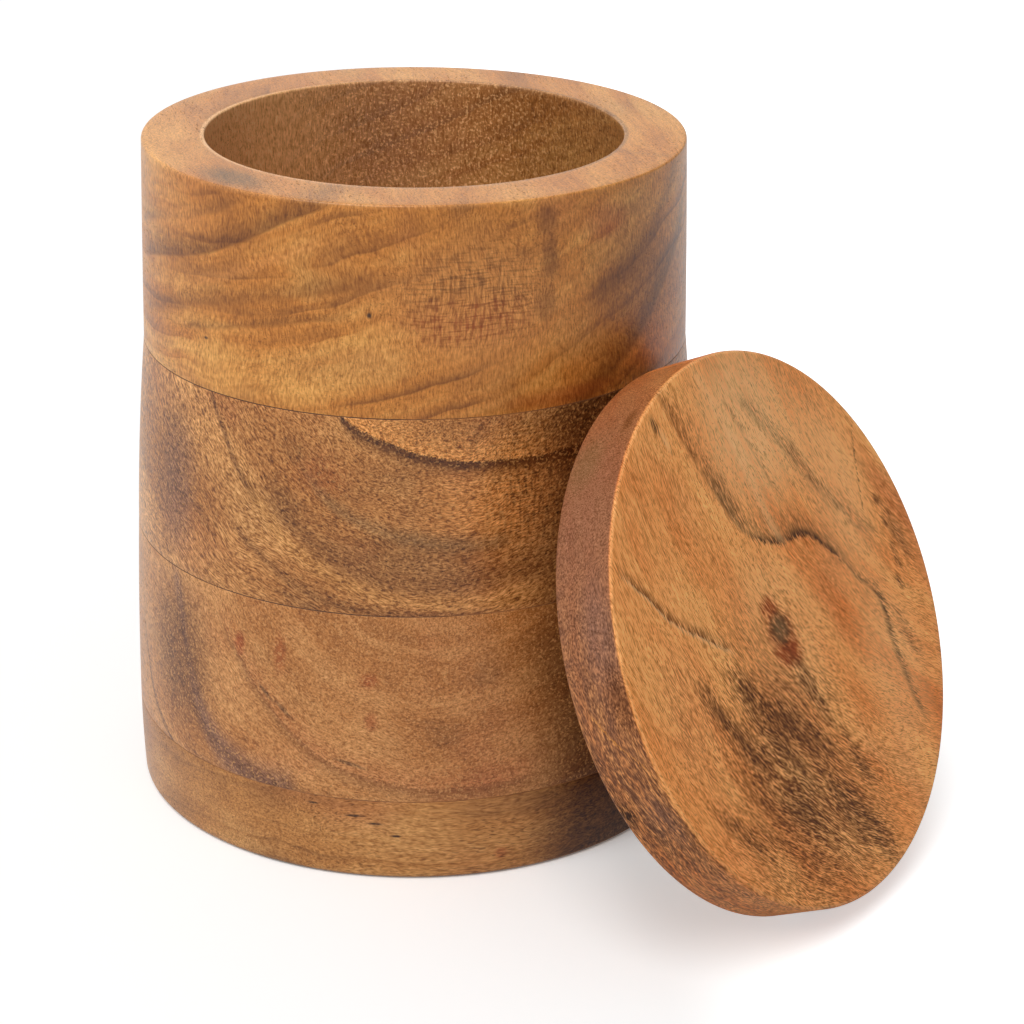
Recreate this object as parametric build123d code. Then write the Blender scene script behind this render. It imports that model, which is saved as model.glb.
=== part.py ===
from build123d import *
import os
from math import cos, radians, sin

# Turned wooden storage jar: four glued layers of timber, and a loose lid that leans against the wall.
# Millimetres, +Z up. The origin is on the jar's axis, on the surface that it stands on.

# Heights of the jar's layers, from the bottom up
BASE_HEIGHT = 22.1
LOWER_RING_HEIGHT = 50.5
MIDDLE_RING_HEIGHT = 50.5
TOP_RING_HEIGHT = 53.0
GLUE_THICKNESS = 0.25

# Outside radius at the rim, and how far the wall spreads from there down to each glue joint and the foot
RIM_RADIUS = 70.0
TOP_SPREAD = 1.3
MIDDLE_SPREAD = 3.3
LOWER_SPREAD = 1.4
FOOT_TUCK = 0.6

# How far each layer's wall swells past a straight line between its two edges
BASE_SWELL = 0.2
LOWER_SWELL = 0.3
MIDDLE_SWELL = 0.45
TOP_SWELL = 0.1

# Wall at the rim, and the edges of the jar
RIM_WALL = 16.1
FOOT_EDGE = 1.2
RIM_OUTER_EDGE = 0.9
RIM_INNER_EDGE = 0.7

# Loose lid: a thick disc with a locating plug glued under it
LID_OVERHANG = 0.2
LID_THICKNESS = 17.0
LID_EDGE = 0.8
PLUG_CLEARANCE = 0.6
PLUG_DEPTH = 9.5
PLUG_EDGE = 0.8
LID_GLUE_SETBACK = 0.4

# How the lid leans: the way its face looks, its tilt above the horizon, and its place beside the jar
LEAN_AZIMUTH = -41.3
LEAN_ELEVATION = 24.73
LEAN_SIDE_SHIFT = -7.0
LEAN_GAP = 0.3

# How close a circle's radius and height must be to the ones asked for
SAME_SIZE = 0.01

UPPER_JOINT_RADIUS = RIM_RADIUS + TOP_SPREAD
LOWER_JOINT_RADIUS = UPPER_JOINT_RADIUS + MIDDLE_SPREAD
BASE_JOINT_RADIUS = LOWER_JOINT_RADIUS + LOWER_SPREAD
FOOT_RADIUS = BASE_JOINT_RADIUS - FOOT_TUCK
BORE_RADIUS = RIM_RADIUS - RIM_WALL
LID_RADIUS = RIM_RADIUS + LID_OVERHANG
PLUG_RADIUS = BORE_RADIUS - PLUG_CLEARANCE

# Level of each layer's underside
BASE_LEVEL = 0.0
LOWER_LEVEL = BASE_LEVEL + BASE_HEIGHT + GLUE_THICKNESS
MIDDLE_LEVEL = LOWER_LEVEL + LOWER_RING_HEIGHT + GLUE_THICKNESS
TOP_LEVEL = MIDDLE_LEVEL + MIDDLE_RING_HEIGHT + GLUE_THICKNESS
RIM_LEVEL = TOP_LEVEL + TOP_RING_HEIGHT

# Each layer: its underside, height, bottom radius, top radius and swell
LAYERS = {
    "base_disc": (BASE_LEVEL, BASE_HEIGHT, FOOT_RADIUS, BASE_JOINT_RADIUS, BASE_SWELL),
    "lower_ring": (LOWER_LEVEL, LOWER_RING_HEIGHT, BASE_JOINT_RADIUS, LOWER_JOINT_RADIUS, LOWER_SWELL),
    "middle_ring": (MIDDLE_LEVEL, MIDDLE_RING_HEIGHT, LOWER_JOINT_RADIUS, UPPER_JOINT_RADIUS, MIDDLE_SWELL),
    "top_ring": (TOP_LEVEL, TOP_RING_HEIGHT, UPPER_JOINT_RADIUS, RIM_RADIUS, TOP_SWELL),
}


def wall_radius(level):
    """The jar's outside radius at a height above the surface that it stands on."""
    for low, height, bottom_radius, top_radius, swell in LAYERS.values():
        if level <= low + height + GLUE_THICKNESS:
            share = min(max((level - low) / height, 0.0), 1.0)
            straight = bottom_radius + share * (top_radius - bottom_radius)
            return straight + 4 * swell * share * (1 - share)
    return RIM_RADIUS


def layer(name, inner_radius):
    """One turned layer, a solid of revolution with a softly swelling outside wall."""
    low, height, bottom_radius, top_radius, swell = LAYERS[name]
    high = low + height
    middle = ((bottom_radius + top_radius) / 2 + swell, (low + high) / 2)
    with BuildPart() as made:
        with BuildSketch(Plane.XZ):
            with BuildLine():
                ThreePointArc((bottom_radius, low), middle, (top_radius, high))
                Line((top_radius, high), (inner_radius, high))
                Line((inner_radius, high), (inner_radius, low))
                Line((inner_radius, low), (bottom_radius, low))
            make_face()
        revolve(axis=Axis.Z)
    return made.part


def edge_at(shape, radius, level):
    """The round edge of a turned shape with this radius, at this height."""
    circles = shape.edges().filter_by(GeomType.CIRCLE)
    sized = [edge for edge in circles if abs(edge.radius - radius) < SAME_SIZE]
    return [edge for edge in sized if abs(edge.arc_center.Z - level) < SAME_SIZE]


def base_disc():
    """The jar's floor, turned from a board, with a rounded foot."""
    solid = layer("base_disc", 0.0)
    return fillet(edge_at(solid, FOOT_RADIUS, BASE_LEVEL), FOOT_EDGE)


def top_ring():
    """The ring at the mouth, with both edges of the rim rounded over."""
    solid = layer("top_ring", BORE_RADIUS)
    solid = fillet(edge_at(solid, RIM_RADIUS, RIM_LEVEL), RIM_OUTER_EDGE)
    return fillet(edge_at(solid, BORE_RADIUS, RIM_LEVEL), RIM_INNER_EDGE)


def glue_film(level, radius):
    """The film of glue between two layers, flush with the wall and the bore."""
    film = Cylinder(radius, GLUE_THICKNESS, align=(Align.CENTER, Align.CENTER, Align.MIN))
    bore = Cylinder(BORE_RADIUS, GLUE_THICKNESS, align=(Align.CENTER, Align.CENTER, Align.MIN))
    return Pos(0, 0, level) * (film - bore)


def disc(radius, thickness, top_level):
    """A flat round disc whose upper face is at a level, about Z."""
    return Pos(0, 0, top_level) * Cylinder(radius, thickness, align=(Align.CENTER, Align.CENTER, Align.MAX))


def lid_disc():
    """The lid's thick upper disc, in its own frame: its top face is at 0 and looks along +Z."""
    solid = disc(LID_RADIUS, LID_THICKNESS, 0.0)
    rims = edge_at(solid, LID_RADIUS, 0.0) + edge_at(solid, LID_RADIUS, -LID_THICKNESS)
    return fillet(rims, LID_EDGE)


def lid_plug():
    """The locating disc under the lid, in the lid's own frame, with its leading edge rounded."""
    solid = disc(PLUG_RADIUS, PLUG_DEPTH - GLUE_THICKNESS, -LID_THICKNESS - GLUE_THICKNESS)
    return fillet(edge_at(solid, PLUG_RADIUS, -LID_THICKNESS - PLUG_DEPTH), PLUG_EDGE)


def lid_glue():
    """The film of glue that holds the plug to the lid, in the lid's own frame."""
    return disc(PLUG_RADIUS - LID_GLUE_SETBACK, GLUE_THICKNESS, -LID_THICKNESS)


def lean():
    """The place of the leaning lid: its rim on the surface, and its plug's upper edge at the jar's wall."""
    rise, run = sin(radians(LEAN_ELEVATION)), cos(radians(LEAN_ELEVATION))

    def corner(depth, radius, edge):
        """How far a rounded corner reaches behind the face's centre, and how far above it."""
        in_depth, in_radius = depth - edge, radius - edge
        return in_depth * run + in_radius * rise + edge, in_radius * run - in_depth * rise

    face_level = (LID_THICKNESS - LID_EDGE) * rise + (LID_RADIUS - LID_EDGE) * run + LID_EDGE
    plug_corner = corner(LID_THICKNESS + PLUG_DEPTH, PLUG_RADIUS, PLUG_EDGE)
    rim_corner = corner(LID_THICKNESS, LID_RADIUS, LID_EDGE)
    # The plug or the disc's rim meets the wall first, whichever reaches further.
    out = max(reach + wall_radius(face_level + above) for reach, above in (plug_corner, rim_corner)) + LEAN_GAP
    return Rot(0, 0, LEAN_AZIMUTH) * Pos(out, LEAN_SIDE_SHIFT, face_level) * Rot(0, 90 - LEAN_ELEVATION, 0)


lid_place = lean()
parts = {
    "base_disc": base_disc(),
    "lower_ring": layer("lower_ring", BORE_RADIUS),
    "middle_ring": layer("middle_ring", BORE_RADIUS),
    "top_ring": top_ring(),
    "base_glue_line": glue_film(LOWER_LEVEL - GLUE_THICKNESS, BASE_JOINT_RADIUS),
    "lower_glue_line": glue_film(MIDDLE_LEVEL - GLUE_THICKNESS, LOWER_JOINT_RADIUS),
    "upper_glue_line": glue_film(TOP_LEVEL - GLUE_THICKNESS, UPPER_JOINT_RADIUS),
    "lid_disc": lid_place * lid_disc(),
    "lid_glue_line": lid_place * lid_glue(),
    "lid_plug": lid_place * lid_plug(),
}

os.makedirs("parts", exist_ok=True)
for name, shape in parts.items():
    export_step(shape, f"parts/{name}.step")
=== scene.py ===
from math import cos, pi, radians, sin

import bmesh
import bpy
from mathutils import Matrix, Vector


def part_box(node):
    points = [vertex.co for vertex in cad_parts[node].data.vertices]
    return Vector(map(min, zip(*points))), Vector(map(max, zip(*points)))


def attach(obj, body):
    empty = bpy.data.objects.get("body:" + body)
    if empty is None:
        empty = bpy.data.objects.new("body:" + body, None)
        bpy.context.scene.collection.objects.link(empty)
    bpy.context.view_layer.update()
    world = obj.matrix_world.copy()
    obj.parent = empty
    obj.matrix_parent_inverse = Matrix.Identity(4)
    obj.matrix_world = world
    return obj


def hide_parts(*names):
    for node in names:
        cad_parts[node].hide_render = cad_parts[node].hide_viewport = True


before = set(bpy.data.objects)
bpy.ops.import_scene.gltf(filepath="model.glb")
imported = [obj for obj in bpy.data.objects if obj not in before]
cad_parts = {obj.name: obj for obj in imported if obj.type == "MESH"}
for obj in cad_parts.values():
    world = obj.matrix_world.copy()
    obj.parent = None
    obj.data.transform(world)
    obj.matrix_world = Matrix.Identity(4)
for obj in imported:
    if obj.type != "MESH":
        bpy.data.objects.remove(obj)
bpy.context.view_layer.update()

# The scene is in metres, and the numbers below are in millimetres unless they say otherwise.
MM = 0.001
TO_MM = (1 / MM, 1 / MM, 1 / MM)

# The turned shapes, where the frame's boxes don't give them
FOOT_RADIUS = 75.4
RIM_RADIUS = 70.0
RIM_LEVEL = 176.85
BORE_RADIUS = 53.9
SWELLS = {"base_disc": 0.2, "lower_ring": 0.3, "middle_ring": 0.45, "top_ring": 0.1}
FOOT_EDGE = 1.2
RIM_OUTER_EDGE = 0.55
RIM_INNER_EDGE = 0.5
JOINT_EDGE = 0.05
GLUE_RECESS = 0.04
LID_RADIUS = 70.2
LID_THICKNESS = 17.0
LID_EDGE = 0.8
PLUG_RADIUS = 53.3
PLUG_DEPTH = 9.5
PLUG_EDGE = 0.8
GLUE_THICKNESS = 0.25
LID_GLUE_SETBACK = 0.4

# Between these levels in the lid's own frame, its narrow side gives way to its face.
ARRIS_LEVELS = (-0.9, -0.3)

# How the lid leans, in degrees
LEAN_AZIMUTH = -41.3
LEAN_ELEVATION = 24.73

# How finely the turned pieces are meshed, and how uneven hand finishing left them
STEPS_ROUND = 288
STEPS_IN_EDGE = 4
LONGEST_STEP = 2.5
HAND_WORK = 0.07
EDGE_WEAR = 0.15


class Nodes:
    """Adds shader nodes to one tree. A value may be a number, a tuple or another node's socket."""

    def __init__(self, tree):
        self.tree = tree

    def add(self, kind, inputs=None, **settings):
        node = self.tree.nodes.new(kind)
        for name, value in settings.items():
            setattr(node, name, value)
        for key, value in (inputs or {}).items():
            if isinstance(value, bpy.types.NodeSocket):
                self.tree.links.new(value, node.inputs[key])
            else:
                node.inputs[key].default_value = value
        return node

    def maths(self, operation, first, second=0.0, third=0.0, clamp=False):
        inputs = {0: first, 1: second, 2: third}
        return self.add("ShaderNodeMath", inputs, operation=operation, use_clamp=clamp).outputs[0]

    def plus(self, *values):
        total = values[0]
        for value in values[1:]:
            total = self.maths("ADD", total, value)
        return total

    def times(self, *values):
        product = values[0]
        for value in values[1:]:
            product = self.maths("MULTIPLY", product, value)
        return product

    def length(self, x, y):
        """How long a flat vector is."""
        return self.maths("SQRT", self.plus(self.times(x, x), self.times(y, y)))

    def vector(self, operation, first, second=(0.0, 0.0, 0.0)):
        return self.add("ShaderNodeVectorMath", {0: first, 1: second}, operation=operation).outputs[0]

    def split(self, vector):
        return self.add("ShaderNodeSeparateXYZ", {0: vector}).outputs[:3]

    def join(self, x, y, z):
        return self.add("ShaderNodeCombineXYZ", {0: x, 1: y, 2: z}).outputs[0]

    def noise(self, vector, size, detail=2.0, roughness=0.5, distortion=0.0):
        """Smooth random values between 0 and 1, whose features are about this size along each axis."""
        scale = tuple(1.0 / side for side in size)
        inputs = {"Vector": self.vector("MULTIPLY", vector, scale), "Scale": 1.0, "Detail": detail}
        inputs.update({"Roughness": roughness, "Distortion": distortion})
        return self.add("ShaderNodeTexNoise", inputs)

    def rise(self, value, low, high, from_value=0.0, to_value=1.0):
        """A smooth step from one value to another as the input goes from low to high."""
        inputs = {0: value, 1: low, 2: high, 3: from_value, 4: to_value}
        return self.add("ShaderNodeMapRange", inputs, interpolation_type="SMOOTHSTEP").outputs[0]

    def mix(self, share, first, second, blend="MIX"):
        """One colour into another."""
        inputs = {0: share, 6: first, 7: second}
        node = self.add("ShaderNodeMix", inputs, data_type="RGBA", blend_type=blend)
        return node.outputs[2]

    def ramp(self, value, stops):
        """A colour for each value, from (place, colour) stops."""
        node = self.add("ShaderNodeValToRGB", {0: value})
        marks = node.color_ramp.elements
        while len(marks) < len(stops):
            marks.new(0.5)
        for mark, (place, colour) in zip(marks, stops):
            mark.position = place
            mark.color = colour
        return node.outputs[0]

    def curve(self, value, points):
        """A smooth line through (place, height) points, both from 0 to 1."""
        node = self.add("ShaderNodeFloatCurve", {1: value})
        line = node.mapping.curves[0]
        while len(line.points) < len(points):
            line.points.new(0.5, 0.5)
        for point, place in zip(line.points, points):
            point.location = place
            point.handle_type = "AUTO"
        node.mapping.update()
        return node.outputs[0]


def srgb(red, green, blue):
    """A colour as a screen shows it, from 0 to 255 each, as the linear colour that shaders use."""
    def linear(value):
        share = value / 255
        return share / 12.92 if share <= 0.04045 else ((share + 0.055) / 1.055) ** 2.4
    return linear(red), linear(green), linear(blue), 1.0


# Some of these colours also paint light and shade: UMBER is painted shade beside the lid and in the bore,
# PALE is painted light in the bore, on the rim and on the lid's arris, and MAUVE is a painted reflection at
# the top ring's right edge.
DARK_LINE = srgb(66, 38, 20)
WALNUT = srgb(104, 55, 18)
RUST = srgb(164, 78, 32)
WARM_RED = srgb(184, 106, 64)
OLIVE = srgb(130, 97, 60)
MAUVE = srgb(138, 98, 80)
ORANGE = srgb(226, 150, 78)
PALE = srgb(255, 196, 132)
UMBER = srgb(64, 25, 1)
BROWN = srgb(128, 72, 31)
GOLDEN = srgb(204, 142, 76)
SMOKE = srgb(98, 54, 20)

# What the fine structure multiplies a colour by, from its deepest shade to its lightest fibre
FIBRE_SHADES = [
    (0.0, (0.16, 0.07, 0.03, 1.0)), (0.35, (0.68, 0.59, 0.48, 1.0)), (0.5, (1.0, 1.0, 1.0, 1.0)),
    (0.65, (1.26, 1.36, 1.56, 1.0)), (1.0, (1.9, 2.3, 3.0, 1.0)),
]


def group(name, inputs, build):
    """A node group with these input sockets. build(nodes, sockets) returns its one output."""
    tree = bpy.data.node_groups.new(name, "ShaderNodeTree")
    for socket in inputs:
        tree.interface.new_socket(socket, in_out="INPUT", socket_type="NodeSocketFloat")
    tree.interface.new_socket("Mask", in_out="OUTPUT", socket_type="NodeSocketFloat")
    n = Nodes(tree)
    entry = n.add("NodeGroupInput")
    n.add("NodeGroupOutput", {0: build(n, entry.outputs)})
    return tree


def streak_mask(n, sockets):
    """1 on a line and 0 away from it. It fades over one distance above, another below, and at its ends."""
    gap, above, below, share, fade = sockets[:5]
    over = n.rise(gap, 0.0, above, 1.0, 0.0)
    under = n.rise(gap, n.times(below, -1.0), 0.0, 0.0, 1.0)
    far = n.maths("SUBTRACT", 1.0, share)
    return n.times(over, under, n.rise(share, 0.0, fade), n.rise(far, 0.0, fade))


def spot_mask(n, sockets):
    """1 in the middle of an oval and 0 outside it, with a ragged edge."""
    along, height, rough, middle_along, middle_height, long_side, short_side, c, s = sockets[:9]
    x = n.maths("SUBTRACT", along, middle_along)
    y = n.maths("SUBTRACT", height, middle_height)
    first = n.maths("DIVIDE", n.plus(n.times(x, c), n.times(y, s)), long_side)
    second = n.maths("DIVIDE", n.maths("SUBTRACT", n.times(y, c), n.times(x, s)), short_side)
    return n.rise(n.plus(n.length(first, second), n.times(rough, 0.14)), 0.2, 1.0, 1.0, 0.0)


STREAK = group("streak", ("Gap", "Above", "Below", "Share", "Fade"), streak_mask)
SPOT_INPUTS = ("Along", "Height", "Rough", "Middle along", "Middle height", "Long", "Short", "Cos", "Sin")
SPOT = group("spot", SPOT_INPUTS, spot_mask)


def streak(n, place, points, above, below, depth, tint, fade=0.12):
    """A line of figure that follows height = f(along). place is the (along, height, roughness) sockets."""
    along, height, rough = place
    first, last = points[0][0], points[-1][0]
    heights = [point[1] for point in points]
    low, high = min(heights) - 1.0, max(heights) + 1.0
    share = n.add("ShaderNodeMapRange", {0: along, 1: first, 2: last}).outputs[0]
    shape = [((x - first) / (last - first), (y - low) / (high - low)) for x, y in points]
    line = n.maths("MULTIPLY_ADD", n.curve(share, shape), high - low, low)
    gap = n.plus(n.maths("SUBTRACT", height, line), rough)
    inputs = {0: gap, 1: above, 2: below, 3: share, 4: fade}
    return n.add("ShaderNodeGroup", inputs, node_tree=STREAK).outputs[0], depth, tint


def spot(n, place, centre, size, depth, tint, turn=0.0):
    """A soft oval patch of figure at a place, with its longer side turned by an angle in degrees."""
    inputs = dict(enumerate((*place, *centre, *size, cos(radians(turn)), sin(radians(turn)))))
    return n.add("ShaderNodeGroup", inputs, node_tree=SPOT).outputs[0], depth, tint


def blank_material(name):
    """A new material without nodes, and what adds nodes to it."""
    material = bpy.data.materials.new(name)
    material.use_nodes = True
    material.node_tree.nodes.clear()
    return material, Nodes(material.node_tree)


def timber(name, cut, figure, place=Matrix()):
    """A solid block of oiled hardwood that the piece is turned from.

    cut holds the block's own numbers: grain, the way its fibres run in plan; bend, how much they curve;
    pith, where the rings' centre lies across and up from the origin; reach, how far from it the way round
    is measured; growth, the spacing of its growth lines; tones, its dark, middle and light colours; fibre
    and ripple, the size of its marks along, across and up, and along, round and towards the pith; seed,
    its own place in the random values; and how strong each of its features is. figure adds the marks that
    are given one by one, as (mask, depth, tint): figure in the wood and, on all but the plug, some painted
    light and shade. place is the frame that all of this is given in.
    """
    material, n = blank_material(name)
    seed = cut["seed"]

    where = n.add("ShaderNodeTexCoord")
    scaled = n.vector("MULTIPLY", where.outputs["Object"], TO_MM)
    frame_inputs = {0: scaled, 1: place.translation / MM, 2: place.to_euler()}
    point = n.add("ShaderNodeMapping", frame_inputs, vector_type="TEXTURE").outputs[0]
    turned = n.add("ShaderNodeMapping", {0: point, 2: (0.0, 0.0, -radians(cut["grain"]))}).outputs[0]

    # Each block is cut from its own place in the random values.
    start = n.vector("ADD", turned, (seed * 97.0, seed * 61.0, seed * 43.0))

    # Fibres don't run quite straight: a slow drift bends all that follows.
    slow = n.vector("SUBTRACT", n.noise(start, (60, 34, 34), 2.0).outputs[1], (0.5, 0.5, 0.5))
    quick = n.vector("SUBTRACT", n.noise(start, (14, 6, 6), 2.0).outputs[1], (0.5, 0.5, 0.5))
    slow = n.vector("MULTIPLY", slow, (10, 10, 10))
    quick = n.vector("MULTIPLY", quick, (1.6, 1.6, 1.6))
    drift = n.vector("ADD", slow, quick)
    along, across, up = n.split(n.vector("ADD", turned, drift))
    across = n.plus(across, n.times(along, along, -cut.get("bend", 0.0)))
    block = n.vector("ADD", n.join(along, across, up), (seed * 31.0, seed * 17.0, seed * 23.0))

    # Growth bands, from the distance to the pith, and the way round it
    side = n.maths("SUBTRACT", across, cut["pith"][0])
    above = n.maths("SUBTRACT", up, cut["pith"][1])
    distance = n.length(side, above)
    arc = n.times(n.maths("ARCTAN2", side, n.maths("ABSOLUTE", above)), cut.get("reach", 60.0))
    from_pith = n.plus(distance, n.times(along, 0.04))
    ring_line = n.join(from_pith, 0.0, seed * 31.0)
    bands = n.noise(ring_line, (cut["growth"] * 2, 1, 1), 3.0, 0.62).outputs[0]
    fine_bands = n.noise(ring_line, (cut["growth"] * 0.22, 1, 1), 2.0, 0.6).outputs[0]
    ringed = n.join(along, arc, n.plus(distance, seed * 57.0))

    # Each growth line darkens slowly outwards and then stops sharply. Lines come and go along the piece.
    spacing = n.noise(ring_line, (cut["growth"] * 1.7, 1, 1), 1.0).outputs[0]
    phase = n.maths("FRACT", n.plus(n.times(from_pith, 1 / cut["growth"]), n.times(spacing, 1.6)))
    presence = n.rise(n.noise(start, (46, 22, 22), 1.0).outputs[0], 0.4, 0.66)
    growth = n.times(n.maths("POWER", phase, 3.5), n.rise(phase, 0.94, 1.0, 1.0, 0.0), presence)

    # Fibres, pores and the short ripples across them
    fibres = n.noise(block, cut["fibre"], 1.0, 0.6).outputs[0]
    long_fibres = n.noise(block, (16.0, 1.5, 1.5), 3.0, 0.6).outputs[0]
    ripple = n.noise(ringed, cut["ripple"], 1.0, 0.6, 0.35).outputs[0]
    pore_noise = n.noise(ringed, cut.get("pore", (2.2, 0.45, 0.45)), 0.0).outputs[0]
    pore_crowd = n.noise(start, (40, 18, 18), 1.0).outputs[0]
    pores = n.times(n.rise(pore_noise, 0.64, 0.78), n.rise(pore_crowd, 0.35, 0.7, 0.25, 1.0))
    clouds = n.noise(start, (44, 20, 20), 3.0, 0.55).outputs[0]
    hues = n.noise(n.vector("ADD", start, (311.0, 17.0, 5.0)), (50, 26, 26), 2.0).outputs[0]

    # End grain soaks up more oil and is darker.
    grain_way = place.to_3x3() @ Vector((cos(radians(cut["grain"])), sin(radians(cut["grain"])), 0.0))
    ways = {0: where.outputs["Normal"], 1: grain_way}
    facing = n.add("ShaderNodeVectorMath", ways, operation="DOT_PRODUCT")
    end_grain = n.maths("POWER", n.maths("ABSOLUTE", facing.outputs["Value"]), 2.0)

    def swing(*pairs):
        """The sum of random values, each about its middle and times a depth."""
        return n.plus(*[n.times(n.maths("SUBTRACT", value, 0.5), depth) for value, depth in pairs])

    broad = swing((bands, cut.get("band_depth", 1.1)), (fine_bands, 0.35), (clouds, 0.8))
    lines = n.times(growth, cut.get("line_depth", 0.3))
    darker = n.plus(lines, n.times(end_grain, cut.get("end_depth", 0.12)))
    tone = n.maths("SUBTRACT", n.plus(cut["level"], broad), darker)
    colour = n.ramp(tone, list(zip((0.0, 0.5, 1.0), cut["tones"])))
    colour = n.mix(n.rise(hues, 0.52, 0.78, 0.0, 0.35), colour, WARM_RED)
    colour = n.mix(n.rise(hues, 0.22, 0.47, cut.get("cool", 0.28), 0.0), colour, OLIVE)

    # The listed marks break up along the fibres like everything else.
    breaks = cut.get("breaks", 0.14)
    grip = n.plus(n.times(fibres, 0.45), n.times(ripple, 0.2), n.times(long_fibres, 0.35))
    grip = n.rise(grip, 0.36, 0.62, 1.0 + breaks, 1.0 - breaks * 1.6)
    grip = n.plus(grip, n.times(end_grain, n.maths("SUBTRACT", 1.0, grip)))
    edges = n.plus(n.times(fibres, 0.7), n.times(ripple, 0.3))
    for mask, depth, tint in figure(n, point, drift, edges):
        colour = n.mix(n.times(mask, grip, depth), colour, tint)

    # The fine structure lies over all of that: fibres, ripples, light speckles and dark pores.
    fibre_depth, ripple_depth = cut.get("fibre_depth", 0.7), cut.get("ripple_depth", 0.6)
    fine = swing((long_fibres, 0.3), (fibres, fibre_depth), (ripple, ripple_depth))
    shade = n.ramp(n.plus(fine, cut.get("fine_level", 0.5)), FIBRE_SHADES)
    colour = n.mix(1.0, colour, shade, "MULTIPLY")
    speckles = n.rise(n.noise(point, (0.7, 0.7, 0.7), 1.0).outputs[0], 0.52, 0.7)
    colour = n.mix(n.times(speckles, cut.get("speckle", 0.0)), colour, cut["tones"][2])
    colour = n.mix(n.times(pores, cut.get("pore_depth", 0.38)), colour, UMBER)

    shine = n.plus(cut.get("roughness", 0.33), swing((ripple, 0.16)), n.times(pores, 0.2))
    relief = n.maths("SUBTRACT", n.plus(n.times(fibres, 0.6), n.times(ripple, 0.4)), pores)
    bump = n.add("ShaderNodeBump", {"Height": relief, "Strength": 0.3, "Distance": 0.0001})
    inputs = {"Base Color": colour, "Roughness": shine, "Normal": bump.outputs[0]}
    inputs["Specular IOR Level"] = cut.get("gloss", 0.42)
    surface = n.add("ShaderNodeBsdfPrincipled", inputs)
    n.add("ShaderNodeOutputMaterial", {0: surface.outputs[0]})
    return material


def jar_place(n, point, drift, edges):
    """Degrees round the jar from its front, positive to the right, and millimetres up, a little uneven."""
    x, y, z = n.split(point)
    degrees = n.times(n.maths("ARCTAN2", x, n.times(y, -1.0)), 180.0 / pi)
    dx, dy, dz = n.split(drift)
    rough = n.times(n.maths("SUBTRACT", edges, 0.5), 2.0)
    return n.plus(degrees, n.times(dx, 0.25)), n.plus(z, n.times(dz, 0.25)), rough


def hatch(n, place):
    """Crossed fine lines, like linen, that some of the figured grain shows."""
    along, height, rough = place
    upright = n.noise(n.join(along, height, 0.0), (0.6, 5.0, 1.0), 0.0).outputs[0]
    level = n.noise(n.join(along, height, 9.0), (4.5, 0.6, 1.0), 0.0).outputs[0]
    lines = n.plus(n.rise(upright, 0.48, 0.66, 0.0, 0.75), n.rise(level, 0.48, 0.66, 0.0, 0.75))
    return n.plus(0.2, lines)


def hatched(n, place, patches):
    """Oval patches of figure that show only as crossed fine lines."""
    cross = hatch(n, place)
    spots = [spot(n, place, *patch) for patch in patches]
    return [(n.times(mask, cross), depth, tint) for mask, depth, tint in spots]


def bore_mask(n, point):
    """1 on the bore's wall and 0 outside it."""
    x, y, z = n.split(point)
    return n.rise(n.length(x, y), BORE_RADIUS + 0.6, BORE_RADIUS + 1.6, 1.0, 0.0)


def shaded(n, place, point):
    """1 on the side of the outer wall that the lid keeps from the light, and 0 elsewhere: where painted
    shade goes.
    """
    x, y, z = n.split(point)
    on_wall = n.times(n.rise(n.length(x, y), RIM_RADIUS - 4.0, RIM_RADIUS - 1.0), n.rise(z, 0.2, 1.0))
    return n.times(on_wall, n.rise(place[0], 12.0, 30.0), n.rise(place[0], 46.0, 70.0, 1.0, 0.0))


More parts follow.
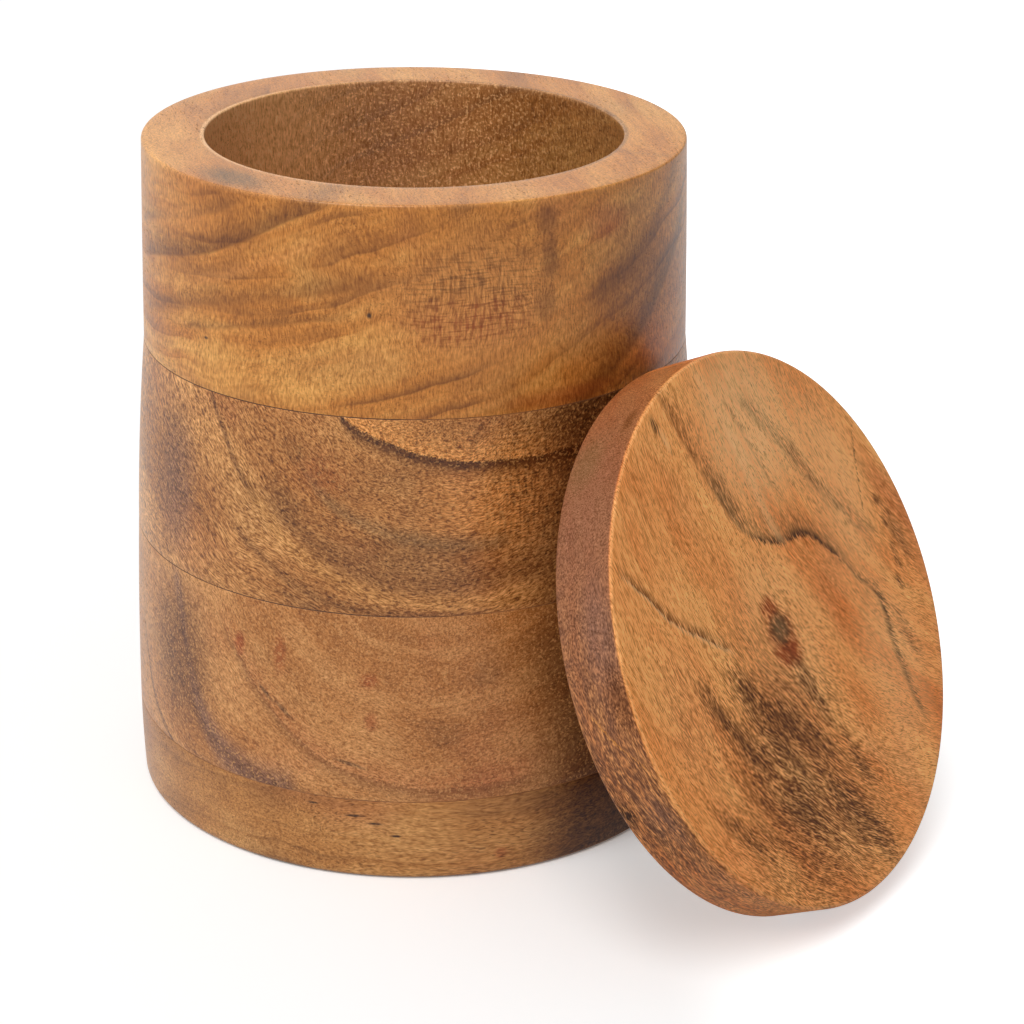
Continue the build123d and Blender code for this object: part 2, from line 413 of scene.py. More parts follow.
def top_figure_and_light(n, point, drift, edges):
    """The mouth ring: bands that climb from the left, a cross-hatched patch right of the middle, a painted
    reflection at its right edge, and painted light and shade in its bore and on its rim.
    """
    place = jar_place(n, point, drift, edges)
    inside = bore_mask(n, point)
    outside = n.maths("SUBTRACT", 1.0, inside)
    patches = [((6.0, 155.0), (23.0, 18.0), 0.46, WALNUT), ((6.0, 148.0), (20.0, 9.0), 0.54, RUST)]
    marks = [
        streak(n, place, [(-84, 149), (-76.6, 151.5), (-53.4, 158.9), (-39.5, 166), (-30, 172), (-19, 178)],
               8.0, 1.0, 0.7, WALNUT),
        streak(n, place, [(-84, 134), (-77.4, 136.9), (-47.6, 148.1), (-28.3, 153.9), (-8, 159)],
               5.0, 2.5, 0.4, WALNUT),
        streak(n, place, [(-84, 158), (-72.5, 162.3), (-53.3, 168.5), (-40, 175)], 4.0, 1.2, 0.4, WALNUT),
        streak(n, place, [(-62, 137), (-47, 141.5), (-32, 146), (-18, 149)], 2.2, 1.2, 0.4, WALNUT),
        streak(n, place, [(-66, 146), (-52, 152), (-36, 160), (-22, 168)], 3.4, 2.0, 0.5, ORANGE),
        spot(n, place, (-60.0, 166.0), (16.0, 5.0), 0.5, ORANGE, 10.0),
        spot(n, place, (-20.0, 136.0), (20.0, 7.0), 0.4, GOLDEN, 6.0),
        spot(n, place, (6.0, 152.0), (28.0, 22.0), 0.85, ORANGE),
        spot(n, place, (21.5, 171.0), (3.6, 6.0), 0.5, WALNUT),
        spot(n, place, (22.0, 161.0), (3.0, 8.0), 0.55, WALNUT),
        spot(n, place, (21.0, 150.0), (3.4, 6.0), 0.45, WALNUT),
        streak(n, place, [(24, 121), (34, 127), (46.6, 137.3), (56, 147), (72, 163)],
               9.0, 3.0, 0.55, UMBER),
        streak(n, place, [(30, 148), (42, 155), (54, 165), (66, 178)], 6.0, 4.0, 0.4, WALNUT),
        spot(n, place, (46.0, 148.0), (22.0, 28.0), 0.45, UMBER),
        spot(n, place, (36.0, 168.0), (9.0, 7.0), 0.6, RUST),
        spot(n, place, (30.0, 138.0), (9.0, 7.0), 0.5, GOLDEN),
        spot(n, place, (26.0, 126.5), (22.0, 3.6), 0.5, RUST),
        # Painted reflection: a grey-violet tint at the right edge, where the room shows at a glancing
        # angle.
        spot(n, place, (70.0, 146.0), (16.0, 26.0), 0.25, MAUVE),
        spot(n, place, (-14.5, 149.3), (0.7, 1.1), 1.0, DARK_LINE),
        spot(n, place, (-52.0, 137.0), (0.9, 0.6), 1.0, DARK_LINE),
        *hatched(n, place, patches),
    ]
    marks = [(n.times(mask, outside), depth, tint) for mask, depth, tint in marks]
    return marks + bore_and_rim(n, point, place[2], inside)


def bore_and_rim(n, point, rough, inside):
    """The bore's wall, with painted light at its left and painted shade to its right, a painted sheen that
    makes the rim's top paler, and a grey patch on the rim.
    """
    x, y, z = n.split(point)
    dots = n.rise(n.noise(point, (0.75, 0.75, 0.75), 1.0).outputs[0], 0.5, 0.68)
    dotted = n.times(n.rise(x, -50.0, -14.0), n.rise(x, 20.0, 50.0, 1.0, 0.3))
    rim = n.rise(z, RIM_LEVEL - 1.35, RIM_LEVEL - 0.35)
    grey, depth, tint = spot(n, (x, y, rough), (-48.0, -41.0), (17.0, 8.0), 0.8, OLIVE, -57.0)
    return [
        # Painted light on the bore's left wall, and below, painted shade on its right wall.
        (n.times(inside, n.rise(x, -60.0, 10.0, 1.1, 0.15)), 1.0, PALE),
        (n.times(inside, n.rise(x, -40.0, 0.0), n.rise(x, 0.0, 40.0, 1.0, 0.0)), 0.5, MAUVE),
        (n.times(inside, n.rise(x, 0.0, 44.0)), 0.6, UMBER),
        (n.times(inside, dots, dotted), 0.6, PALE),
        # Painted sheen: the rim's top is made a little paler.
        (rim, 0.12, PALE),
        (n.times(grey, rim), depth, tint),
    ]


def middle_figure_and_shade(n, point, drift, edges):
    """The middle ring: a strong dark growth line near its top, broad arcs open upwards, and painted shade
    beside the lid.
    """
    place = jar_place(n, point, drift, edges)
    growth = [(-20.5, 124), (-15.2, 119.9), (-9.6, 116.9), (-4, 114.5), (2.2, 113.2), (11.7, 112.4)]
    growth += [(22, 112), (36, 113)]
    patches = [((8.0, 119.0), (26.0, 7.0), 0.32, WALNUT), ((19.0, 104.0), (17.0, 24.0), 0.5, UMBER)]
    return [
        streak(n, place, growth, 12.0, 0.8, 0.95, ORANGE, 0.02),
        spot(n, place, (14.0, 102.0), (24.0, 16.0), 0.7, ORANGE),
        *hatched(n, place, patches),
        streak(n, place, growth, 0.8, 2.2, 1.3, DARK_LINE, 0.02),
        streak(n, place, growth, 0.6, 5.0, 0.8, WALNUT, 0.04),
        streak(n, place, [(-52, 125), (-50.2, 121.5), (-46.1, 112.7), (-41.7, 104.2), (-37, 98)],
               3.0, 2.0, 0.75, WALNUT),
        streak(n, place, [(-44, 108), (-38, 99), (-25, 84.5), (-10, 78), (6, 76), (24, 77)],
               5.0, 4.0, 0.55, GOLDEN),
        streak(n, place, [(-38, 105), (-30.3, 96), (-22, 87.5), (-8.5, 82), (4.9, 82), (24, 84)],
               8.0, 5.0, 0.6, WALNUT),
        streak(n, place, [(-46, 96), (-36, 84), (-24, 76), (-8, 73), (10, 72)], 3.0, 2.0, 0.55, WALNUT),
        streak(n, place, [(-30, 118), (-24, 104), (-14, 96), (0, 92), (16, 92)], 4.0, 3.0, 0.5, OLIVE),
        spot(n, place, (-61.0, 96.0), (9.0, 26.0), 0.55, MAUVE),
        spot(n, place, (-64.0, 96.0), (12.0, 30.0), 0.4, WALNUT),
        spot(n, place, (-6.0, 90.0), (22.0, 7.0), 0.36, UMBER),
        spot(n, place, (-24.0, 108.0), (9.0, 7.0), 0.3, RUST),
        # Painted shade: the wall is darkened to umber where the lid keeps light from it.
        (n.times(shaded(n, place, point), 0.9), 1.0, UMBER),
    ]


def lower_figure_and_shade(n, point, drift, edges):
    """The lower ring: wide arcs open upwards, a greyer band at the left, a few dark marks, and painted
    shade beside the lid.
    """
    place = jar_place(n, point, drift, edges)
    arc = [(-50, 72), (-44, 60), (-37, 48.4), (-29, 37), (-20, 30), (-8, 26.3), (6, 25.5), (22, 28)]
    return [
        streak(n, place, arc, 10.0, 1.5, 0.3, WARM_RED),
        streak(n, place, arc, 1.0, 5.0, 0.45, WALNUT),
        streak(n, place, [(-64, 74), (-59.6, 64.4), (-54.7, 42), (-45, 26), (-28.5, 22)],
               10.0, 9.0, 0.9, MAUVE),
        spot(n, place, (-60.0, 50.0), (15.0, 30.0), 0.8, WALNUT),
        streak(n, place, [(-62, 52), (-52, 32), (-40, 24), (-26, 22)], 5.0, 4.0, 0.5, WALNUT),
        streak(n, place, [(-80, 56), (-77, 44), (-72.6, 32.5), (-66, 25), (-60, 20)],
               0.8, 3.0, 0.9, WALNUT),
        spot(n, place, (-35.7, 48.3), (4.2, 0.7), 0.75, DARK_LINE, -58.0),
        spot(n, place, (-32.0, 44.6), (4.2, 0.8), 0.75, DARK_LINE, -50.0),
        spot(n, place, (-18.5, 32.0), (5.0, 0.8), 0.75, DARK_LINE, -22.0),
        spot(n, place, (-41.8, 60.1), (1.8, 4.6), 0.9, RUST),
        spot(n, place, (-32.7, 60.0), (2.0, 8.0), 0.6, RUST),
        spot(n, place, (-14.3, 55.6), (2.6, 3.2), 0.7, RUST),
        spot(n, place, (-13.9, 43.9), (2.0, 4.0), 0.6, RUST),
        # Painted shade: the wall is darkened to umber where the lid keeps light from it.
        (n.times(shaded(n, place, point), 0.8), 1.0, UMBER),
    ]


def base_figure_and_shade(n, point, drift, edges):
    """The base board: a few short dark dashes along its level grain, one reddish spot, and painted shade
    beside the lid.
    """
    place = jar_place(n, point, drift, edges)
    return [
        spot(n, place, (-25.5, 19.8), (1.6, 0.5), 0.95, DARK_LINE),
        spot(n, place, (-17.5, 17.6), (2.6, 0.55), 1.0, DARK_LINE),
        spot(n, place, (-13.5, 15.5), (2.2, 0.5), 1.0, DARK_LINE),
        spot(n, place, (-9.7, 12.3), (1.2, 0.6), 1.0, DARK_LINE),
        spot(n, place, (10.6, 5.8), (2.0, 2.6), 0.7, RUST),
        # Painted shade: the wall is darkened to umber where the lid keeps light from it.
        (n.times(shaded(n, place, point), 0.9), 1.0, UMBER),
    ]


def lid_figure_and_highlight(n, point, drift, edges):
    """The lid: a knot, a dark line across it, mineral streaks lower down, a crack near its edge, and a
    painted highlight on its arris.
    """
    x, y, z = n.split(point)
    dx, dy, dz = n.split(drift)
    rough = n.times(n.maths("SUBTRACT", edges, 0.5), 4.0)
    down = n.plus(x, n.times(dx, 0.3))
    right = n.plus(y, n.times(dy, 0.3))
    face = (down, right, rough)
    turned = (right, down, rough)
    rim_angle = n.times(n.maths("ARCTAN2", y, x), 180.0 / pi)
    band = (n.plus(rim_angle, n.times(dx, 0.2)), n.plus(z, n.times(dz, 0.2)), rough)
    seam = [(-59.4, -35.0), (-51.7, -26.3), (-46.1, -18.2), (-35.4, -9.2), (-24.0, -1.0)]
    dark = [(-11, -35), (-5.7, -28.4), (-0.6, -24.1), (8.7, -19.9), (19.6, -17.8), (27.8, -11.2),
            (35.0, -2.7), (42.0, 7.5)]
    marks = [
        spot(n, face, (-50.0, 12.0), (32.0, 32.0), 0.95, PALE),
        spot(n, face, (-26.0, 40.0), (40.0, 22.0), 0.55, PALE),
        spot(n, face, (0.0, -4.0), (30.0, 26.0), 0.4, PALE),
        spot(n, face, (24.0, 40.0), (34.0, 22.0), 0.45, PALE),
        spot(n, face, (34.0, -18.0), (50.0, 38.0), 0.85, BROWN),
        spot(n, face, (52.0, 4.0), (20.0, 26.0), 0.45, BROWN),
        spot(n, face, (4.0, -50.0), (24.0, 16.0), 0.3, WARM_RED),
        streak(n, turned, seam, 1.0, 5.0, 0.8, BROWN),
        streak(n, turned, seam, 1.8, 0.4, 0.6, PALE),
        streak(n, turned, dark, 1.0, 9.0, 0.6, OLIVE, 0.3),
        streak(n, turned, dark, 1.6, 2.4, 0.9, DARK_LINE, 0.3),
    ]
    marks += lid_details(n, face, turned)
    on_face = n.rise(z, *ARRIS_LEVELS)
    return [(n.times(mask, on_face), depth, tint) for mask, depth, tint in marks] + lid_band(n, point, band)


def lid_details(n, face, turned):
    """The smaller marks on the lid's face: soft bands, the crack, the knot, mineral streaks and specks."""
    ridge = [(-72, -3.6), (-68.2, -2.0), (-55.0, 1.9), (-39.1, 5.3), (-27.4, 6.5), (-16.0, 12.0)]
    edge = [(-72, -21.5), (-67.7, -20.1), (-54.1, -15.8), (-40.3, -11.5), (-28.0, -5.9)]
    marks = [
        streak(n, face, edge, 9.0, 1.0, 0.5, BROWN),
        streak(n, face, [(-46, -13), (-36, -9), (-28, -5), (-22, 2)], 7.0, 1.0, 0.55, OLIVE, 0.3),
        streak(n, face, ridge, 3.0, 3.0, 0.5, PALE),
        streak(n, face, [(-60, 4), (-50, 8), (-40, 11), (-28, 14)], 2.5, 1.0, 0.35, BROWN),
        streak(n, face, [(-60, 10), (-50.5, 16.8), (-35.4, 27.3), (-24.9, 32.9), (-14.9, 43.3), (-4, 52)],
               6.0, 5.0, 0.4, OLIVE),
        streak(n, face, [(-44, 22), (-34, 28), (-25, 34), (-18, 41)], 3.0, 3.0, 0.4, BROWN, 0.3),
        streak(n, face, [(-6, 33), (0, 37), (7.5, 43.4), (18.4, 42.5), (25, 42.4), (44, 45)],
               3.0, 2.0, 0.7, OLIVE),
        streak(n, face, [(-4, 34), (3, 40), (10, 43.6), (20, 43)], 0.8, 0.8, 0.7, DARK_LINE, 0.3),
        streak(n, face, [(-37, 59.5), (-36.8, 58.4), (-24.3, 52.6), (-13, 48.9)],
               0.3, 0.3, 1.0, DARK_LINE, 0.1),
        spot(n, face, (-60.7, -24.9), (4.0, 1.6), 0.8, DARK_LINE, 10.0),
        spot(n, face, (-56.0, -22.7), (5.0, 1.4), 0.7, PALE, 10.0),
        spot(n, face, (0.0, -3.6), (15.0, 15.0), 0.6, ORANGE),
        spot(n, face, (0.8, -4.0), (10.0, 9.0), 0.7, WARM_RED),
        spot(n, face, (0.6, -3.6), (11.0, 9.5), 0.4, RUST),
        spot(n, face, (-6.8, -5.2), (4.6, 5.2), 1.3, RUST, 20.0),
        spot(n, face, (5.6, -3.6), (5.6, 7.8), 1.4, RUST),
        spot(n, face, (-0.8, -3.8), (6.0, 5.8), 1.4, SMOKE, 8.0),
        spot(n, face, (-0.8, -3.9), (4.8, 4.2), 0.8, OLIVE, 8.0),
    ]
    minerals = [
        (5.8, -40.5), (10.2, -25.2), (16.0, -34.0), (19.4, -16.5), (16.1, -0.1),
        (29.3, -18.2), (22.0, -33.0), (41.7, -20.4), (47.1, -3.0), (60.5, 8.0),
        (36.6, -46.0), (26.0, -8.0), (40.1, 9.8), (50.0, 2.0),
    ]
    for place, (down, right) in enumerate(minerals):
        size = (12.0 + place % 3 * 4.0, 3.8 + place % 2 * 2.0)
        marks.append(spot(n, face, (down, right), size, 0.66, SMOKE, 20.0 + place % 4 * 9.0))
    for centre in [(-14.6, 57.6), (-9.0, 57.7), (-2.0, 57.4), (2.2, 57.3), (7.1, 55.0)]:
        marks.append(spot(n, face, centre, (3.6, 1.8), 0.7, WALNUT, 25.0))
    for centre in [(-4.0, 62.0), (20.0, 50.0)]:
        marks.append(spot(n, face, centre, (12.0, 4.0), 0.5, SMOKE, 20.0))
    return marks


def lid_band(n, point, band):
    """The marks on the lid's narrow side, and a painted highlight along its upper arris."""
    x, y, z = n.split(point)
    radius = n.length(x, y)
    below_face = n.rise(z, *ARRIS_LEVELS, 1.0, 0.0)
    on_band = n.times(n.rise(radius, LID_RADIUS - 1.6, LID_RADIUS - 0.4), below_face)
    # Painted highlight: a pale line along the upper arris.
    arris = n.times(n.rise(radius, LID_RADIUS - 1.0, LID_RADIUS - 0.6), n.rise(z, -0.6, -0.1))
    sides = [
        spot(n, band, (-114.0, -8.0), (120.0, 60.0), 0.85, BROWN),
        spot(n, band, (-114.0, -10.0), (90.0, 30.0), 0.5, MAUVE),
        streak(n, band, [(-96, -13), (-89.8, -9.5), (-81.7, -3), (-74.3, -0.1), (-70, 1)],
               0.4, 0.4, 1.0, ORANGE),
        spot(n, band, (-72.5, -15.0), (4.0, 3.4), 1.0, DARK_LINE),
        spot(n, band, (-108.0, -5.0), (17.0, 7.0), 0.6, MAUVE),
        spot(n, band, (-96.0, -3.0), (10.0, 5.0), 0.6, WALNUT),
        spot(n, band, (-70.0, -6.0), (10.0, 6.0), 0.5, MAUVE),
        spot(n, band, (-156.0, -3.5), (5.0, 2.6), 0.6, WALNUT),
        spot(n, band, (-146.0, -12.0), (10.0, 7.0), 0.5, OLIVE),
    ]
    marks = [(n.times(mask, on_band), depth, tint) for mask, depth, tint in sides]
    marks.append((arris, 0.3, PALE))
    return marks


def glue(name):
    """Dried glue in a joint: a dark hairline that fades where the layers meet closely."""
    material, n = blank_material(name)
    point = n.vector("MULTIPLY", n.add("ShaderNodeTexCoord").outputs["Object"], TO_MM)
    x, y, z = n.split(point)
    close = n.noise(point, (22, 22, 60), 2.0).outputs[0]
    grains = n.noise(point, (1.4, 1.4, 1.4), 2.0).outputs[0]
    tight = n.maths("MAXIMUM", n.rise(x, -40.0, 20.0), n.rise(z, 40.0, 60.0, 1.0, 0.0))
    tight = n.plus(n.times(tight, 0.8), n.rise(close, 0.4, 0.62, -0.2, 0.3))
    colour = n.mix(n.rise(tight, 0.0, 1.0), srgb(78, 48, 30), srgb(170, 112, 62))
    colour = n.mix(n.rise(grains, 0.4, 0.7, 0.0, 0.4), colour, DARK_LINE)
    bump = n.add("ShaderNodeBump", {"Height": grains, "Strength": 0.3, "Distance": 0.0001})
    inputs = {"Base Color": colour, "Roughness": 0.6, "Normal": bump.outputs[0]}
    n.add("ShaderNodeOutputMaterial", {0: n.add("ShaderNodeBsdfPrincipled", inputs).outputs[0]})
    return material


def outline(corners):
    """A section's points from its corners, each (radius, height, edge radius), with the edges rounded."""
    count = len(corners)
    points = []
    for index, (radius, height, edge) in enumerate(corners):
        here = Vector((radius, height))
        before = (Vector(corners[index - 1][:2]) - here).normalized()
        after = (Vector(corners[(index + 1) % count][:2]) - here).normalized()
        if edge == 0.0:
            points.append(here)
            continue
        start, end = here + before * edge, here + after * edge
        centre = start + after * edge
        for step in range(STEPS_IN_EDGE + 1):
            angle = pi / 2 * step / STEPS_IN_EDGE
            points.append(centre - after * edge * cos(angle) - before * edge * sin(angle))
    return points


def divided(points, closed):
    """How many steps of about LONGEST_STEP each side of an outline is divided into."""
    ends = points[1:] + points[:1] if closed else points[1:]
    return [max(1, round((end - start).length / LONGEST_STEP)) for start, end in zip(points, ends)]


def spun(name, section, closed):
    """A turned mesh. section(angle) gives its corners there; an open one starts and ends on the axis."""
    pattern = divided(outline(section(0.0)), closed)
    verts, rows = [], []
    for turn in range(STEPS_ROUND):
        angle = 2 * pi * turn / STEPS_ROUND
        points = outline(section(angle))
        ends = points[1:] + points[:1]
        row = []
        for start, end, steps in zip(points, ends, pattern):
            row += [start.lerp(end, step / steps) for step in range(steps)]
        if not closed:
            row.append(points[-1])
        rows.append(row)
        for point in row:
            verts.append((point.x * cos(angle) * MM, point.x * sin(angle) * MM, point.y * MM))
    size = len(rows[0])
    faces = []
    for turn in range(STEPS_ROUND):
        here, there = turn * size, (turn + 1) % STEPS_ROUND * size
        for step in range(size if closed else size - 1):
            ahead = (step + 1) % size
            faces.append((here + step, there + step, there + ahead, here + ahead))
    mesh = bpy.data.meshes.new(name)
    mesh.from_pydata(verts, [], faces)
    return finished(name, mesh)


def finished(name, mesh):
    """Joins the points that meet on the axis, turns the faces outwards and shades them smooth."""
    shape = bmesh.new()
    shape.from_mesh(mesh)
    bmesh.ops.remove_doubles(shape, verts=shape.verts, dist=1e-6)
    bmesh.ops.recalc_face_normals(shape, faces=shape.faces)
    shape.to_mesh(mesh)
    shape.free()
    mesh.shade_smooth()
    piece = bpy.data.objects.new(name, mesh)
    bpy.context.collection.objects.link(piece)
    return piece


def uneven(angle, seed):
    """A slow random wave round a piece, from 0 to 1."""
    total = sin(2 * angle + seed) + 0.7 * sin(3 * angle + 2.3 * seed) + 0.6 * sin(7 * angle + 4.1 * seed)
    return 0.5 + total / 4.6


def levels(node):
    """A CAD node's lowest and highest level, in millimetres."""
    low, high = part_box(node)
    return low.z / MM, high.z / MM


def half_width(node):
    """Half a CAD node's width across, in millimetres."""
    low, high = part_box(node)
    return (high.x - low.x) / 2 / MM


def layer(node, bottom_radius, top_radius, bottom_edge, top_edge, inner_top_edge, seed):
    """A ring of the jar, or its base where there is no bore, in place of its CAD node."""
    low, high = levels(node)
    swell = SWELLS[node]
    wall_steps = max(2, round((high - low) / LONGEST_STEP / 2))

    def section(angle):
        shave = HAND_WORK * uneven(angle, seed)
        wear = 1 + EDGE_WEAR * uneven(angle, seed + 2) if top_edge > JOINT_EDGE else 1.0
        wall = []
        for step in range(wall_steps + 1):
            share = step / wall_steps
            radius = bottom_radius + share * (top_radius - bottom_radius) + 4 * swell * share * (1 - share)
            shaved = radius - shave * 4 * share * (1 - share)
            edge = bottom_edge if step == 0 else top_edge * wear if step == wall_steps else 0.0
            wall.append((shaved, low + share * (high - low), edge))
        if node == "base_disc":
            return [(0.0, low, 0.0)] + wall + [(0.0, high, 0.0)]
        bore = [(BORE_RADIUS, high, inner_top_edge), (BORE_RADIUS, low, JOINT_EDGE)]
        return wall + bore

    return spun(f"{node}_turned", section, node != "base_disc")


def film(node, radius):
    """The hairline of glue between two layers, a little below the surface on both sides."""
    low, high = levels(node)
    corners = [(radius - GLUE_RECESS, low, 0.0), (radius - GLUE_RECESS, high, 0.0)]
    corners += [(BORE_RADIUS + GLUE_RECESS, high, 0.0), (BORE_RADIUS + GLUE_RECESS, low, 0.0)]
    return spun(f"{node}_film", lambda angle: corners, True)


def lid_matrix():
    """The leaning lid's own frame: the middle of its top face, which looks along +Z there."""
    low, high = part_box("lid_disc")
    tilt = Matrix.Rotation(radians(90 - LEAN_ELEVATION), 4, "Y")
    turn = Matrix.Rotation(radians(LEAN_AZIMUTH), 4, "Z") @ tilt
    outward = turn.to_3x3() @ Vector((0, 0, 1))
    return Matrix.Translation((low + high) / 2 + outward * LID_THICKNESS / 2 * MM) @ turn


def round_slab(name, radius, top, bottom, top_edge, bottom_edge, wear):
    """A turned disc in the lid's frame, with its edges eased unevenly by hand."""
    def section(angle):
        top_radius = top_edge * (1 + wear * uneven(angle, 1.7))
        bottom_radius = bottom_edge * (1 + wear * uneven(angle, 5.2))
        wall = [(radius, bottom, bottom_radius), (radius, top, top_radius)]
        return [(0.0, bottom, 0.0), *wall, (0.0, top, 0.0)]
    return spun(name, section, False)


def dress(piece, material, body, *nodes):
    """Gives a finished piece its material and its body, and hides the CAD nodes that it stands for."""
    piece.data.materials.append(material)
    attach(piece, body)
    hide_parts(*nodes)


# The timber of each layer: where its grain runs, where its growth rings are centred, and its colours
TOP_CUT = {
    "grain": -86, "pith": (-110, 420), "growth": 9.0, "seed": 1.3, "level": 0.66, "reach": 290.0,
    "fibre": (0.5, 0.42, 2.2), "fibre_depth": 0.6, "ripple": (1.5, 0.45, 1.2), "ripple_depth": 0.3,
    "end_depth": 0.1, "line_depth": 0.35,
    "tones": (srgb(112, 56, 14), srgb(206, 130, 55), srgb(246, 182, 98)),
}
MIDDLE_CUT = {
    "grain": -98, "pith": (8, 150), "growth": 8.0, "seed": 2.1, "level": 0.71, "reach": 50.0,
    "fibre": (1.0, 0.34, 0.34), "fibre_depth": 0.3, "ripple": (1.8, 1.1, 0.4), "ripple_depth": 1.6,
    "band_depth": 0.8, "line_depth": 0.15, "speckle": 0.45,
    "tones": (srgb(84, 42, 14), srgb(176, 112, 56), srgb(230, 166, 98)),
}
LOWER_CUT = {
    "grain": -92, "pith": (4, 96), "growth": 11.0, "seed": 3.7, "level": 0.67, "reach": 55.0,
    "fibre": (1.2, 0.45, 0.5), "fibre_depth": 0.4, "ripple": (2.0, 1.0, 0.45), "ripple_depth": 0.8,
    "band_depth": 0.8, "line_depth": 0.15, "speckle": 0.5,
    "tones": (srgb(96, 50, 18), srgb(184, 118, 60), srgb(232, 170, 106)),
}
BASE_CUT = {
    "grain": 6, "pith": (-60, -150), "growth": 7.0, "seed": 4.4, "level": 0.54, "reach": 150.0,
    "fibre": (3.0, 0.4, 0.4), "fibre_depth": 0.6, "ripple": (2.0, 0.6, 0.6), "ripple_depth": 0.5,
    "line_depth": 0.15, "pore_depth": 0.6,
    "tones": (srgb(108, 60, 22), srgb(190, 128, 66), srgb(230, 174, 106)),
}
LID_CUT = {
    "grain": 28, "bend": 0.0042, "pith": (-60, -90), "growth": 9.0, "seed": 5.6, "level": 0.78,
    "fibre": (2.4, 0.36, 0.36), "fibre_depth": 0.85, "ripple": (1.2, 0.4, 0.4), "ripple_depth": 0.3,
    "pore": (1.0, 0.4, 0.4), "pore_depth": 0.4, "end_depth": 0.2, "line_depth": 0.1, "reach": 110.0,
    "cool": 0.0, "breaks": 0.4, "fine_level": 0.53, "gloss": 0.12, "roughness": 0.42,
    "tones": (srgb(98, 46, 14), srgb(222, 124, 55), srgb(255, 180, 104)),
}
PLUG_CUT = {
    "grain": 24, "pith": (40, -70), "growth": 7.0, "seed": 6.9, "level": 0.58,
    "fibre": (2.0, 0.4, 0.4), "ripple": (1.6, 0.5, 0.5),
    "tones": (srgb(112, 66, 28), srgb(190, 128, 68), srgb(230, 174, 110)),
}

base_joint = half_width("base_glue_line")
lower_joint = half_width("lower_glue_line")
upper_joint = half_width("upper_glue_line")

base = layer("base_disc", FOOT_RADIUS, base_joint, FOOT_EDGE, JOINT_EDGE, 0.0, 0.4)
lower = layer("lower_ring", base_joint, lower_joint, JOINT_EDGE, JOINT_EDGE, JOINT_EDGE, 1.9)
middle = layer("middle_ring", lower_joint, upper_joint, JOINT_EDGE, JOINT_EDGE, JOINT_EDGE, 3.1)
top = layer("top_ring", upper_joint, RIM_RADIUS, JOINT_EDGE, RIM_OUTER_EDGE, RIM_INNER_EDGE, 4.6)
dress(base, timber("base timber", BASE_CUT, base_figure_and_shade), "jar", "base_disc")
dress(lower, timber("lower timber", LOWER_CUT, lower_figure_and_shade), "jar", "lower_ring")
dress(middle, timber("middle timber", MIDDLE_CUT, middle_figure_and_shade), "jar", "middle_ring")
dress(top, timber("top timber", TOP_CUT, top_figure_and_light), "jar", "top_ring")

glue_material = glue("glue")
joints = {"base_glue_line": base_joint, "lower_glue_line": lower_joint, "upper_glue_line": upper_joint}
films = {node: film(node, radius) for node, radius in joints.items()}
for node, piece in films.items():
    dress(piece, glue_material, "jar", node)

plug_top = -LID_THICKNESS - GLUE_THICKNESS
plug_end = -LID_THICKNESS - PLUG_DEPTH
lid_glue_radius = PLUG_RADIUS - LID_GLUE_SETBACK
lid = round_slab("lid_disc_turned", LID_RADIUS, 0.0, -LID_THICKNESS, LID_EDGE, LID_EDGE, 0.4)
plug = round_slab("lid_plug_turned", PLUG_RADIUS, plug_top, plug_end, JOINT_EDGE, PLUG_EDGE, 0.4)
lid_film = round_slab("lid_glue_film", lid_glue_radius, -LID_THICKNESS, plug_top, 0.0, 0.0, 0.0)
lid_place = lid_matrix()
for piece in (lid, plug, lid_film):
    piece.data.transform(lid_place)
dress(lid, timber("lid timber", LID_CUT, lid_figure_and_highlight, lid_place), "lid", "lid_disc")
dress(plug, timber("plug timber", PLUG_CUT, lambda *sockets: [], lid_place), "lid", "lid_plug")
dress(lid_film, glue_material, "lid", "lid_glue_line")

# How far the floor reaches each way, and how far it lies below the jar's foot, in metres
FLOOR_REACH = 6.0
FLOOR_DROP = 0.0002

# How much light the floor throws back, how pale it looks, and its tint
FLOOR_BOUNCE = 0.55
FLOOR_SEEN = 1.0
FLOOR_TINT = (0.98, 0.995, 1.0)

# What is added to show the floor white, at the left and at the right, and where it changes, in metres. At
# the right it is more: painted light for the camera that washes out the lid's shadow there.
FLOOR_LIFT = 0.1
FLOOR_LIFT_RIGHT = 0.5
FLOOR_LIFT_CHANGE = (0.045, 0.09)

# Light from the room near the horizon and overhead, as it falls on the object
HORIZON_LIGHT = 0.3
ZENITH_LIGHT = 0.68

# How much of that light comes from the left, and from the right, where the room is darker
LEFT_LIGHT = 1.12
RIGHT_LIGHT = 0.36

# Each lamp: how strong it is, how wide in degrees, and the way that its light goes
LAMPS = {"key": (1.75, 45.0, (0.42, 0.5, -1.0)), "fill": (0.05, 60.0, (-1.0, 0.6, -0.8))}

# The camera: where it stands, its turn down, sideways and about its own axis in degrees, and its lens
CAMERA_PLACE = (-67.0, -724.7, 366.4)
CAMERA_PITCH = 22.106
CAMERA_YAW = 7.322
CAMERA_ROLL = 0.498
SENSOR_WIDTH = 36.0
LENS = 101.78


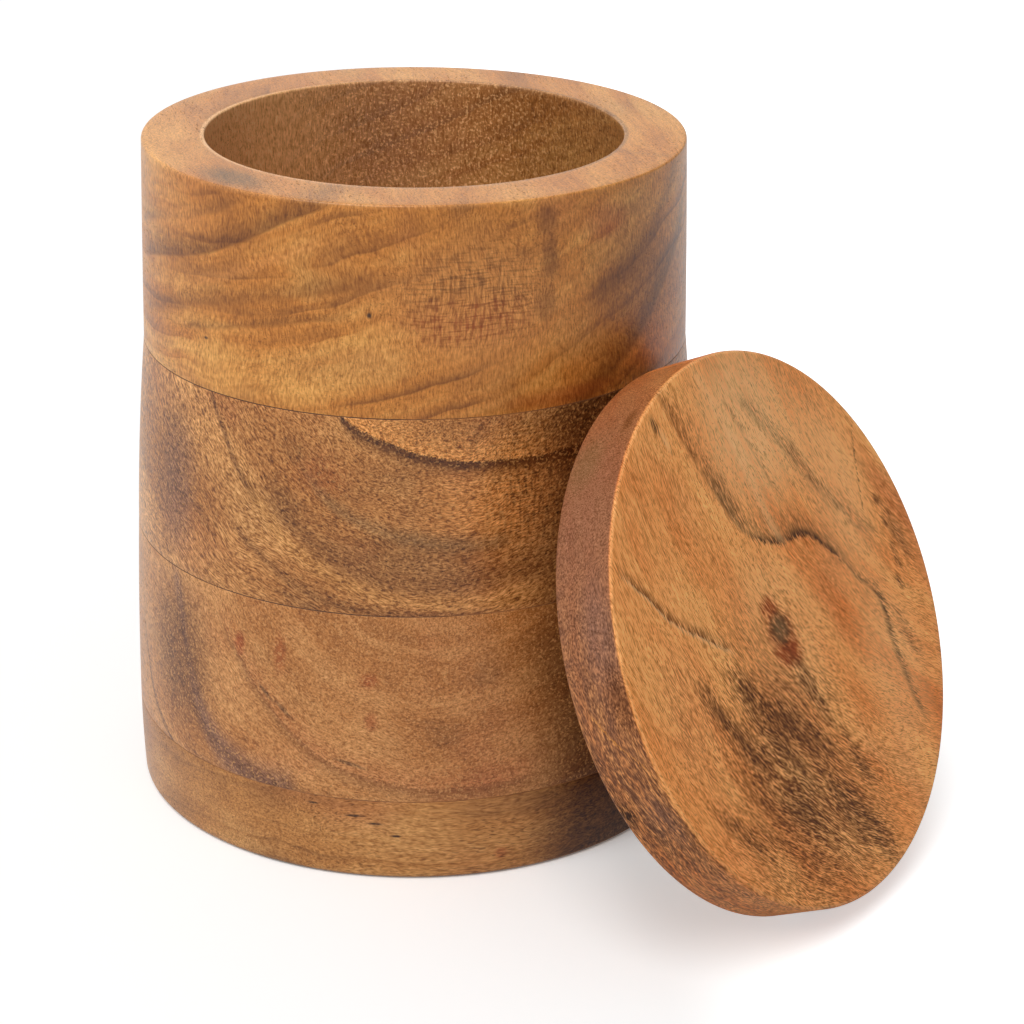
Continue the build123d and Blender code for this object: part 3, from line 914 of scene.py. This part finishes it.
def floor():
    """A wide pale floor that shows white to the camera and keeps the object's soft shadow at the left. At
    the right, painted light for the camera washes that shadow out.
    """
    mesh = bpy.data.meshes.new("floor")
    ways = [(-1, -1), (1, -1), (1, 1), (-1, 1)]
    corners = [(x * FLOOR_REACH, y * FLOOR_REACH, 0) for x, y in ways]
    mesh.from_pydata(corners, [], [(0, 1, 2, 3)])
    plane = bpy.data.objects.new("floor", mesh)
    plane.location.z = -FLOOR_DROP
    bpy.context.collection.objects.link(plane)
    material, n = blank_material("floor")
    path = n.add("ShaderNodeLightPath")
    seen = n.maths("MAXIMUM", path.outputs["Is Camera Ray"], path.outputs["Is Glossy Ray"])
    grey = n.rise(seen, 0.0, 1.0, FLOOR_BOUNCE, FLOOR_SEEN)
    tint = n.join(*[n.times(grey, share) for share in FLOOR_TINT])
    paint = n.add("ShaderNodeBsdfDiffuse", {"Color": tint})
    across = n.split(n.add("ShaderNodeTexCoord").outputs["Object"])[0]
    # Painted light: at the right the floor glows more for the camera, so the lid's shadow there fades.
    glow = n.rise(across, *FLOOR_LIFT_CHANGE, FLOOR_LIFT, FLOOR_LIFT_RIGHT)
    lift = n.add("ShaderNodeEmission", {"Strength": n.times(path.outputs["Is Camera Ray"], glow)})
    both = n.add("ShaderNodeAddShader", {0: paint.outputs[0], 1: lift.outputs[0]})
    n.add("ShaderNodeOutputMaterial", {0: both.outputs[0]})
    mesh.materials.append(material)


def light():
    """A white room with one broad soft key from the upper left and a weak one from the right."""
    world = bpy.data.worlds.new("room")
    bpy.context.scene.world = world
    world.use_nodes = True
    world.node_tree.nodes.clear()
    n = Nodes(world.node_tree)
    path = n.add("ShaderNodeLightPath")
    across, ahead, height = n.split(n.add("ShaderNodeTexCoord").outputs["Generated"])
    soft = n.rise(height, 0.0, 1.0, HORIZON_LIGHT, ZENITH_LIGHT)
    flag = n.rise(across, -0.6, 0.9, LEFT_LIGHT, RIGHT_LIGHT)
    soft = n.maths("MAXIMUM", soft, path.outputs["Is Glossy Ray"])
    strength = n.maths("MAXIMUM", n.times(soft, flag), path.outputs["Is Camera Ray"])
    room = n.add("ShaderNodeBackground", {"Color": (1.0, 1.0, 1.0, 1.0), "Strength": strength})
    n.add("ShaderNodeOutputWorld", {0: room.outputs[0]})
    for name, (energy, angle, way) in LAMPS.items():
        lamp = bpy.data.lights.new(name, "SUN")
        lamp.energy = energy
        lamp.angle = radians(angle)
        holder = bpy.data.objects.new(name, lamp)
        holder.rotation_mode = "QUATERNION"
        holder.rotation_quaternion = Vector(way).to_track_quat("-Z", "Y")
        bpy.context.collection.objects.link(holder)


def camera():
    """The photograph's view: above and in front of the jar, a little to its left."""
    place = Vector(CAMERA_PLACE) * MM
    pitch, yaw, roll = radians(CAMERA_PITCH), radians(CAMERA_YAW), radians(CAMERA_ROLL)
    data = bpy.data.cameras.new("camera")
    data.sensor_width = SENSOR_WIDTH
    data.lens = LENS
    holder = bpy.data.objects.new("camera", data)
    forward = Vector((sin(yaw) * cos(pitch), cos(yaw) * cos(pitch), -sin(pitch)))
    right = Vector((cos(yaw), -sin(yaw), 0.0))
    up = right.cross(forward)
    across = cos(roll) * right + sin(roll) * up
    upright = cos(roll) * up - sin(roll) * right
    axes = Matrix((across, upright, -forward)).transposed()
    holder.matrix_world = Matrix.Translation(place) @ axes.to_4x4()
    bpy.context.collection.objects.link(holder)
    bpy.context.scene.camera = holder


floor()
light()
camera()
bpy.context.scene.view_settings.view_transform = "Standard"
